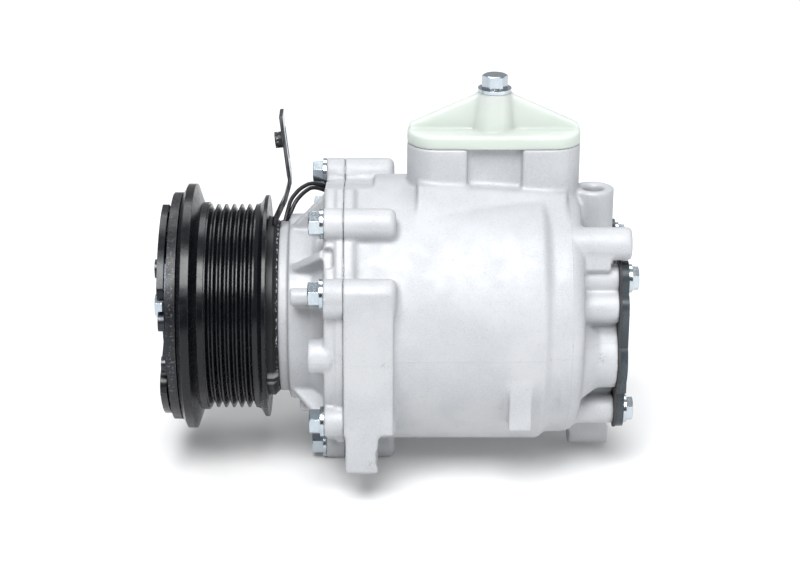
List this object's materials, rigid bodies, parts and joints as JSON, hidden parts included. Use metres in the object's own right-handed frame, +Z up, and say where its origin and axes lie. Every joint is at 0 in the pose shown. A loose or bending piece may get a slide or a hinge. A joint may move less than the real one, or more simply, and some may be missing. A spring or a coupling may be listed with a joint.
{
  "type": "automotive ac compressor",
  "caption": "Belt-driven scroll compressor for car air conditioning, with grooved pulley, electromagnetic clutch, cast housings, capped port block and rear mounting bosses.",
  "frame": {"origin": "on the shaft axis, at the middle plane of the six-groove belt track", "axes": "+X along the shaft from the pulley to the rear cover; +Z up, out of the port block; +Y away from the side with the foot"},
  "size_m": [0.2175, 0.1332, 0.1804],
  "materials": {
    "cast_aluminium": "bead-blasted casting",
    "zinc_steel": "bright zinc plate",
    "bright_steel": "ground",
    "seal_rubber": "moulded",
    "black_steel": "black phosphate",
    "winding": "varnished winding",
    "wire_insulation": "black sleeve",
    "black_plastic": "moulded",
    "bracket_steel": "zinc plated sheet",
    "spring_steel": "blued",
    "machined_aluminium": "fine machined",
    "seal_polymer": "filled polymer",
    "gasket": "coated sheet",
    "black_cover": "black coat",
    "black_pulley": "satin black coat",
    "shield_steel": "pressed",
    "cage_nylon": "moulded",
    "machined_steel": "turned",
    "black_hub": "satin black coat",
    "dark_rivet": "dark, headed",
    "cast_iron": "machined casting",
    "armature_black": "speckled black oxide",
    "leaf_steel": "blued spring strip",
    "cap_plastic": "milky translucent moulding"
  },
  "bodies": {
    "root": {"front_housing": "cast_aluminium", "main_housing": "cast_aluminium", "housing_bolts": "zinc_steel", "dowel_pins": "bright_steel", "housing_o_ring": "seal_rubber", "coil_shell": "black_steel", "coil_winding": "winding", "coil_lead": "wire_insulation", "lead_plug": "black_plastic", "connector_bracket": "bracket_steel", "bracket_nut": "black_steel", "nose_circlip": "spring_steel", "pulley_bearing_inner_race": "bright_steel", "shaft_seal": "seal_rubber", "seal_circlip": "spring_steel", "front_bearing_cup": "bright_steel", "main_bearing_outer_race": "bright_steel", "anti_rotation_pins": "bright_steel", "wear_plate": "spring_steel", "fixed_scroll": "machined_aluminium", "fixed_tip_seal": "seal_polymer", "fixed_scroll_o_ring": "seal_rubber", "reed_root": "spring_steel", "reed_stop": "spring_steel", "reed_screw": "black_steel", "rear_gasket": "gasket", "rear_cover": "black_cover", "rear_cover_bolts": "zinc_steel"},
    "pulley": {"pulley": "black_pulley", "pulley_bearing_outer_race": "bright_steel", "pulley_bearing_shields": "shield_steel", "pulley_circlip": "spring_steel"},
    "pulley_balls": {"pulley_bearing_balls": "bright_steel", "pulley_bearing_cage": "cage_nylon"},
    "shaft": {"crankshaft": "machined_steel", "clutch_hub": "black_hub", "hub_rivets": "dark_rivet", "clutch_shim": "spring_steel", "clutch_bolt": "zinc_steel", "counterweight": "cast_iron", "eccentric_bushing": "bright_steel", "main_bearing_inner_race": "bright_steel"},
    "shaft_rollers": {"main_bearing_balls": "bright_steel", "main_bearing_cage": "cage_nylon", "front_bearing_needles": "bright_steel"},
    "armature": {"armature_plate": "armature_black", "leaf_springs": "leaf_steel", "armature_rivets": "dark_rivet"},
    "orbiter": {"orbiting_scroll": "machined_aluminium", "orbiting_tip_seal": "seal_polymer", "anti_rotation_rings": "bright_steel", "scroll_bearing_cup": "bright_steel", "scroll_bearing_needles": "bright_steel"},
    "cap": {"shipping_cap": "cap_plastic"},
    "cap_screw": {"cap_bolt": "zinc_steel"},
    "reed": {"discharge_reed": "spring_steel"}
  },
  "joints": [
    {"name": "pulley_spin", "type": "hinge", "parent": "root", "child": "pulley", "pos_m": [0, 0, 0], "axis": [1, 0, 0], "continuous": true},
    {"name": "pulley_ball_orbit", "type": "hinge", "parent": "root", "child": "pulley_balls", "pos_m": [0, 0, 0], "axis": [1, 0, 0], "continuous": true},
    {"name": "shaft_spin", "type": "hinge", "parent": "root", "child": "shaft", "pos_m": [0, 0, 0], "axis": [1, 0, 0], "continuous": true},
    {"name": "shaft_roller_orbit", "type": "hinge", "parent": "root", "child": "shaft_rollers", "pos_m": [0, 0, 0], "axis": [1, 0, 0], "continuous": true},
    {"name": "armature_pull", "type": "slide", "parent": "shaft", "child": "armature", "axis": [1, 0, 0], "range_m": [0, 0.0005], "stiffness_N_per_m": 40000},
    {"name": "scroll_orbit", "type": "hinge", "parent": "shaft", "child": "orbiter", "pos_m": [0.045, 0, 0.0047], "axis": [1, 0, 0], "continuous": true},
    {"name": "cap_lift", "type": "slide", "parent": "root", "child": "cap", "axis": [0, 0, 1], "range_m": [0, 0.06]},
    {"name": "cap_bolt_unscrew", "type": "slide", "parent": "cap", "child": "cap_screw", "axis": [0, 0, 1], "range_m": [0, 0.045]},
    {"name": "reed_lift", "type": "hinge", "parent": "root", "child": "reed", "pos_m": [0.10402, 0.003, 0.019], "axis": [0, -1, 0], "range_deg": [0, 5], "stiffness_Nm_per_rad": 0.05}
  ],
  "couplings": [
    {"joint": "pulley_ball_orbit", "follows": "pulley_spin", "ratio": 0.57816},
    {"joint": "shaft_roller_orbit", "follows": "shaft_spin", "ratio": 0.39896},
    {"joint": "scroll_orbit", "follows": "shaft_spin", "ratio": -1}
  ]
}
